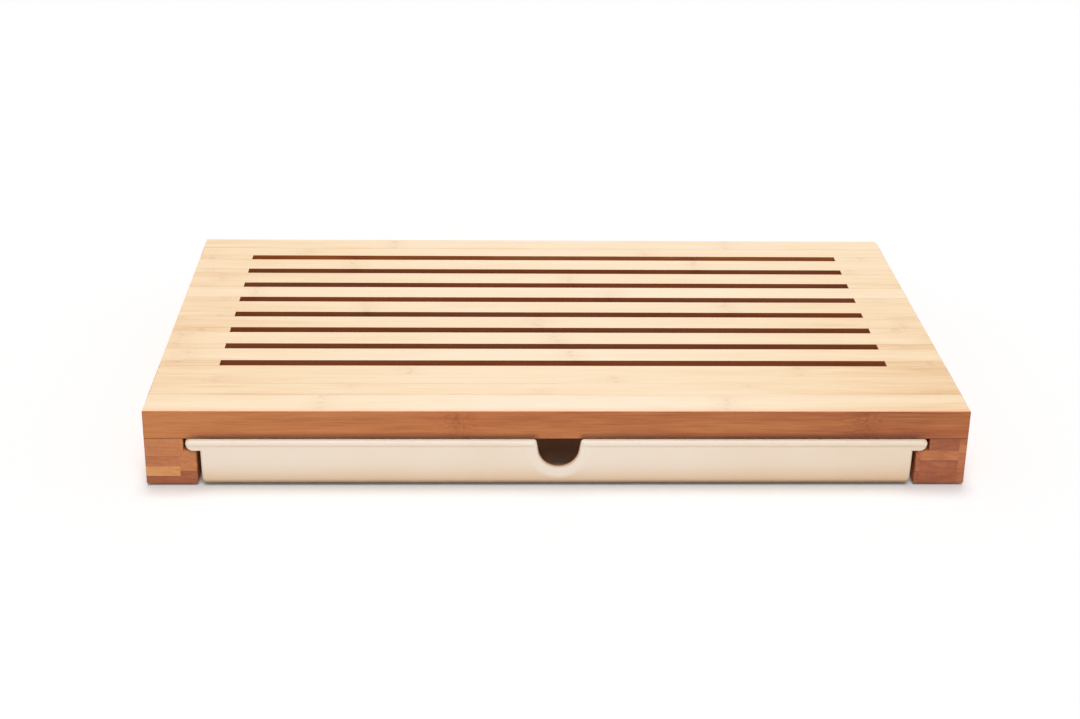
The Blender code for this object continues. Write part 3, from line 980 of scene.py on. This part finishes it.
# Crumb tray. One cream plastic moulding: a shallow tub with rounded edges, a rim with a raised,
# rounded bead along the front, hanging flanges on both sides, and a finger notch. Painted shade
# darkens the front towards its foot, at the notch's edge and towards the right end, and a painted
# highlight makes a paler ring round the notch.
WALL = 0.0025
HALF_WIDTH = 0.1798
DRAFT = 0.0004
CORNER_RADIUS = 0.0018
BOTTOM_RADIUS = 0.0035
BEAD_HEIGHT = 0.0028
BEAD_PROUD = 0.0006
BEAD_FOOT = 0.0006
BEAD_RADIUS = 0.0026
RIM_EDGE = 0.0005
FLANGE_TOP_RADIUS = 0.0019
FLANGE_LOWER_RADIUS = 0.0030
FLANGE_FRONT_RADIUS = 0.0008
FLANGE_TOP_WALL = 0.0022
FLANGE_LIP_WALL = 0.0030
FLANGE_RUNNING_GAP = 0.0003
NOTCH_DEPTH = 0.0147
NOTCH_RADIUS = 0.0103
NOTCH_SLOPE = radians(11)
NOTCH_FLARE = 0.0016
NOTCH_EDGE = 0.0012
CUT_OVERRUN = 0.0010
MERGE = 0.000002
LEAST_RISE = 5 * MERGE
ARC_STEPS = 8
NOTCH_STEPS = 24
SHARP_ANGLE = radians(32)

TRAY_TINTS = ((0.0, (247, 225, 200)), (0.5, (251, 234, 214)), (1.0, (252, 237, 219)))
CLOUD_GRAINS = 18.0
SKIN_GRAINS = 1400.0
SKIN_TONE = 0.06
SKIN_DEPTH = 0.00002
SKIN_STRENGTH = 0.35
SKIN_ROUGHNESS = (0.28, 0.34)
# Painted shade: the plastic darkens towards the tray's right end, where less light falls.
RIGHT_PAINTED_SHADE = 0.6
RIGHT_PAINTED_SHADE_START = 0.02
# Painted shade: the front of the tray darkens towards its foot, near the shaded floor. It stays on the
# front's outer face, to the depth given.
FRONT_SHADE_SPAN = (0.0165, 0.0035)
PAINTED_SHADE_DEPTH = 0.0048
FRONT_SHADE_POWER = 2.2
FRONT_PAINTED_SHADE = (0.85, 0.69, 0.51, 1)
# Painted shade at the very foot of the front, where it turns under towards the floor.
TRAY_FOOT_HEIGHT = 0.0040
TRAY_FOOT_PAINTED_SHADE = (0.38, 0.26, 0.15, 1)
# Painted shade on the notch's edge, which lies under the board's front and gets little light.
NOTCH_EDGE_PAINTED_SHADE = (0.80, 0.56, 0.42, 1)
# A painted highlight: a paler ring round the notch, standing in for light caught by a bevel round its edge.
HIGHLIGHT_RING_REACH = 0.0056
HIGHLIGHT_RING_FADE = 0.0011
HIGHLIGHT_RING_TONE = 0.4

tray_low, tray_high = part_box("crumb_tray")
RIM = tray_high.z
TRAY_BOTTOM = tray_low.z
TRAY_FRONT = tray_low.y
TRAY_BACK = tray_high.y
FLANGE_REACH = tray_high.x
FLANGE_BOTTOM = LEDGE + FLANGE_RUNNING_GAP
NOTCH_CENTRE = RIM - NOTCH_DEPTH + NOTCH_RADIUS

# The sine and cosine of each step of a quarter turn, for the edges that are rounded level by level.
quarter_angles = [pi / 2 * step / ARC_STEPS for step in range(ARC_STEPS + 1)]
QUARTER_TURN = [(sin(angle), cos(angle)) for angle in quarter_angles]


def plan(level, side, front, back):
    """A rectangle with rounded corners, at a level."""
    ring = []
    for centre_x, centre_y, start in (
        (side - CORNER_RADIUS, back - CORNER_RADIUS, 0),
        (CORNER_RADIUS - side, back - CORNER_RADIUS, 90),
        (CORNER_RADIUS - side, front + CORNER_RADIUS, 180),
        (side - CORNER_RADIUS, front + CORNER_RADIUS, 270),
    ):
        for step in range(ARC_STEPS + 1):
            angle = radians(start + 90 * step / ARC_STEPS)
            ring.append((centre_x + CORNER_RADIUS * cos(angle), centre_y + CORNER_RADIUS * sin(angle), level))
    return ring


def walls(level, inset):
    """The tub's outline at a level, moved in by an inset; its sides and back lean in downwards."""
    lean = DRAFT * (RIM - level) / (RIM - TRAY_BOTTOM)
    return plan(level, HALF_WIDTH - lean - inset, TRAY_FRONT + inset, TRAY_BACK - lean - inset)


def rounded_foot(bottom, inset):
    """The outlines of the foot, whose edge is rounded all the way round."""
    radius = BOTTOM_RADIUS - inset
    rings = []
    for sine, cosine in QUARTER_TURN:
        rings.append(walls(bottom + radius * (1 - cosine), inset + radius * (1 - sine)))
    return rings


def tub():
    """The outside of the tub, up to the inside of the rim."""
    upper = [walls(RIM - BEAD_HEIGHT / 2, 0), walls(RIM - RIM_EDGE, BEAD_RADIUS)]
    return loft(rounded_foot(TRAY_BOTTOM, 0) + upper)


def front_at(level):
    """Where the rim's front lies at a level: flush low down, proud on the bead, and rounded over its top."""
    crown = RIM - BEAD_RADIUS
    proud = TRAY_FRONT - BEAD_PROUD
    if level > crown:
        return proud + BEAD_RADIUS - sqrt(max(0, BEAD_RADIUS**2 - (level - crown) ** 2))
    step = min(1, max(0, (level - RIM + BEAD_HEIGHT) / BEAD_FOOT))
    under = max(0, FLANGE_BOTTOM + FLANGE_FRONT_RADIUS - level)
    rounding = FLANGE_FRONT_RADIUS - sqrt(max(0, FLANGE_FRONT_RADIUS**2 - under**2))
    return TRAY_FRONT + HAIRLINE + rounding - (BEAD_PROUD + HAIRLINE) * sqrt(step)


def reach_at(level):
    """Half the rim's width at a level, with the flange's outer edge rounded above and below."""
    low = FLANGE_BOTTOM + FLANGE_LOWER_RADIUS
    high = RIM - FLANGE_TOP_RADIUS
    if level < low:
        return FLANGE_REACH - FLANGE_LOWER_RADIUS + sqrt(max(0, FLANGE_LOWER_RADIUS**2 - (low - level) ** 2))
    if level > high:
        return FLANGE_REACH - FLANGE_TOP_RADIUS + sqrt(max(0, FLANGE_TOP_RADIUS**2 - (level - high) ** 2))
    return FLANGE_REACH


def rim():
    """The rim and the flanges as one slab, from the flanges' underside to the top."""
    levels = [FLANGE_BOTTOM + FLANGE_LOWER_RADIUS * (1 - cosine) for sine, cosine in QUARTER_TURN]
    levels += [FLANGE_BOTTOM + FLANGE_FRONT_RADIUS * (1 - cosine) for sine, cosine in QUARTER_TURN]
    levels += [RIM - BEAD_HEIGHT + BEAD_FOOT * (1 - cosine) for sine, cosine in QUARTER_TURN]
    levels += [RIM - BEAD_RADIUS * (1 - sine) for sine, cosine in QUARTER_TURN]
    kept = []
    for level in sorted(levels):
        if not kept or level - kept[-1] > LEAST_RISE:
            kept.append(level)
    kept[-1] = RIM
    return loft([plan(level, reach_at(level), front_at(level), TRAY_BACK) for level in kept])


def hollow():
    """What is taken out of the tub, with a rounded floor edge and a rounded mouth."""
    rings = rounded_foot(TRAY_BOTTOM + WALL, WALL)
    for sine, cosine in QUARTER_TURN:
        rings.append(walls(RIM - RIM_EDGE * (1 - sine), WALL - RIM_EDGE * (1 - cosine)))
    rings.append(walls(RIM + CUT_OVERRUN, WALL - RIM_EDGE))
    return loft(rings)


def notch_section(y, widening):
    """The notch's outline at a place through the wall: round below, with sides that slope outwards
    and turn over the rim in a small round."""
    turn_z = RIM - NOTCH_FLARE
    climb = turn_z + NOTCH_FLARE * sin(NOTCH_SLOPE) - NOTCH_CENTRE + NOTCH_RADIUS * sin(NOTCH_SLOPE)
    turn_x = (NOTCH_RADIUS + NOTCH_FLARE) * cos(NOTCH_SLOPE) + climb * tan(NOTCH_SLOPE)
    flare = NOTCH_FLARE - widening
    radius = NOTCH_RADIUS + widening
    half = [(turn_x, RIM + CUT_OVERRUN)]
    for step in range(ARC_STEPS + 1):
        angle = pi / 2 - (pi / 2 - NOTCH_SLOPE) * step / ARC_STEPS
        half.append((turn_x - flare * cos(angle), turn_z + flare * sin(angle)))
    for step in range(NOTCH_STEPS + 1):
        angle = NOTCH_SLOPE + (pi / 2 - NOTCH_SLOPE) * step / NOTCH_STEPS
        half.append((radius * cos(angle), NOTCH_CENTRE - radius * sin(angle)))
    other_half = [(-x, z) for x, z in reversed(half[:-1])]
    return [(x, y, z) for x, z in half + other_half]


def notch():
    """The notch's cutter: a tunnel through the front wall that widens towards both faces."""
    face, back = TRAY_FRONT, TRAY_FRONT + WALL
    rings = [notch_section(face - CUT_OVERRUN, NOTCH_EDGE)]
    for sine, cosine in QUARTER_TURN:
        rings.append(notch_section(face + NOTCH_EDGE * (1 - cosine), NOTCH_EDGE * (1 - sine)))
    for sine, cosine in QUARTER_TURN:
        rings.append(notch_section(back - NOTCH_EDGE * (1 - sine), NOTCH_EDGE * (1 - cosine)))
    rings.append(notch_section(back + CUT_OVERRUN, NOTCH_EDGE))
    return loft(rings)


def channel(direction):
    """The hollow under a flange, between the tub's wall and the flange's hanging lip."""
    left, right = sorted((direction * HALF_WIDTH, direction * (FLANGE_REACH - FLANGE_LIP_WALL)))
    low = (left, TRAY_FRONT + WALL, FLANGE_BOTTOM - CUT_OVERRUN)
    return box_mesh(low, (right, TRAY_BACK - WALL, RIM - FLANGE_TOP_WALL))


tray = add_object("crumb_tray_moulding", tub())
tools = []
for name, bm, operation in (
    ("rim_tool", rim(), "UNION"),
    ("hollow_tool", hollow(), "DIFFERENCE"),
    ("notch_tool", notch(), "DIFFERENCE"),
    ("left_channel_tool", channel(-1), "DIFFERENCE"),
    ("right_channel_tool", channel(1), "DIFFERENCE"),
):
    tools.append(add_object(name, bm))
    modifier = tray.modifiers.new(name, "BOOLEAN")
    modifier.operation = operation
    modifier.object = tools[-1]
    modifier.solver = "EXACT"
mesh = bpy.data.meshes.new_from_object(tray.evaluated_get(bpy.context.evaluated_depsgraph_get()))
tray.modifiers.clear()
tray.data = mesh
for tool in tools:
    bpy.data.objects.remove(tool)
bm = bmesh.new()
bm.from_mesh(mesh)
bmesh.ops.remove_doubles(bm, verts=bm.verts, dist=MERGE)
bmesh.ops.dissolve_degenerate(bm, edges=bm.edges, dist=MERGE)
bmesh.ops.recalc_face_normals(bm, faces=bm.faces)
bm.to_mesh(mesh)
bm.free()
mesh.shade_smooth()
mesh.set_sharp_from_angle(angle=SHARP_ANGLE)
modifier = tray.modifiers.new("flat_faces_stay_flat", "WEIGHTED_NORMAL")
modifier.keep_sharp = True

finish, tree, shader = new_finish("cream_plastic")
place = add_node(tree, "ShaderNodeTexCoord").outputs["Object"]
x, y, z = parts_of(tree, place)
cloud = noise_at(tree, place, CLOUD_GRAINS)
skin = noise_at(tree, place, SKIN_GRAINS)
from_centre = vector(tree, x, 0.0, number(tree, "SUBTRACT", z, NOTCH_CENTRE))
from_centre = add_node(tree, "ShaderNodeVectorMath", {0: from_centre}, operation="LENGTH").outputs["Value"]
# The paler ring round the notch is a painted highlight.
highlight_ring_end = NOTCH_RADIUS + HIGHLIGHT_RING_REACH
ring = map_range(tree, from_centre, highlight_ring_end + HIGHLIGHT_RING_FADE, highlight_ring_end - HIGHLIGHT_RING_FADE)
outside = map_range(tree, y, TRAY_FRONT + PAINTED_SHADE_DEPTH, TRAY_FRONT + WALL)

tone = number(tree, "ADD", cloud, map_range(tree, skin, *NOISE_BAND, -SKIN_TONE, SKIN_TONE))
# The tray darkens towards its right end: painted shade.
tone = number(tree, "SUBTRACT", tone, map_range(tree, x, RIGHT_PAINTED_SHADE_START, HALF_WIDTH, 0, RIGHT_PAINTED_SHADE))
tone = number(tree, "ADD", tone, number(tree, "MULTIPLY", ring, HIGHLIGHT_RING_TONE))
colour = tint_ramp(tree, tone, TRAY_TINTS)
# Painted shade on the front's outer face: deeper towards the foot, darker still at the foot, and on the
# notch's edge; none inside the paler ring.
painted_front_shade = number(tree, "POWER", map_range(tree, z, *FRONT_SHADE_SPAN), FRONT_SHADE_POWER)
painted_front_shade = number(tree, "MULTIPLY", painted_front_shade, number(tree, "SUBTRACT", 1.0, ring))
foot = map_range(tree, z, TRAY_FOOT_HEIGHT, TRAY_BOTTOM)
notch_edge_painted_shade = map_range(tree, from_centre, NOTCH_RADIUS + NOTCH_EDGE, NOTCH_RADIUS)
for amount, shade in ((painted_front_shade, FRONT_PAINTED_SHADE), (foot, TRAY_FOOT_PAINTED_SHADE), (notch_edge_painted_shade, NOTCH_EDGE_PAINTED_SHADE)):
    colour = darken(tree, number(tree, "MULTIPLY", amount, outside), colour, shade)
roughness = map_range(tree, skin, *NOISE_BAND, *SKIN_ROUGHNESS)
set_surface(tree, shader, colour, roughness, skin, SKIN_DEPTH, SKIN_STRENGTH)
tray.data.materials.clear()
tray.data.materials.append(finish)
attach(tray, "tray")
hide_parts("crumb_tray")


low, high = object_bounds()
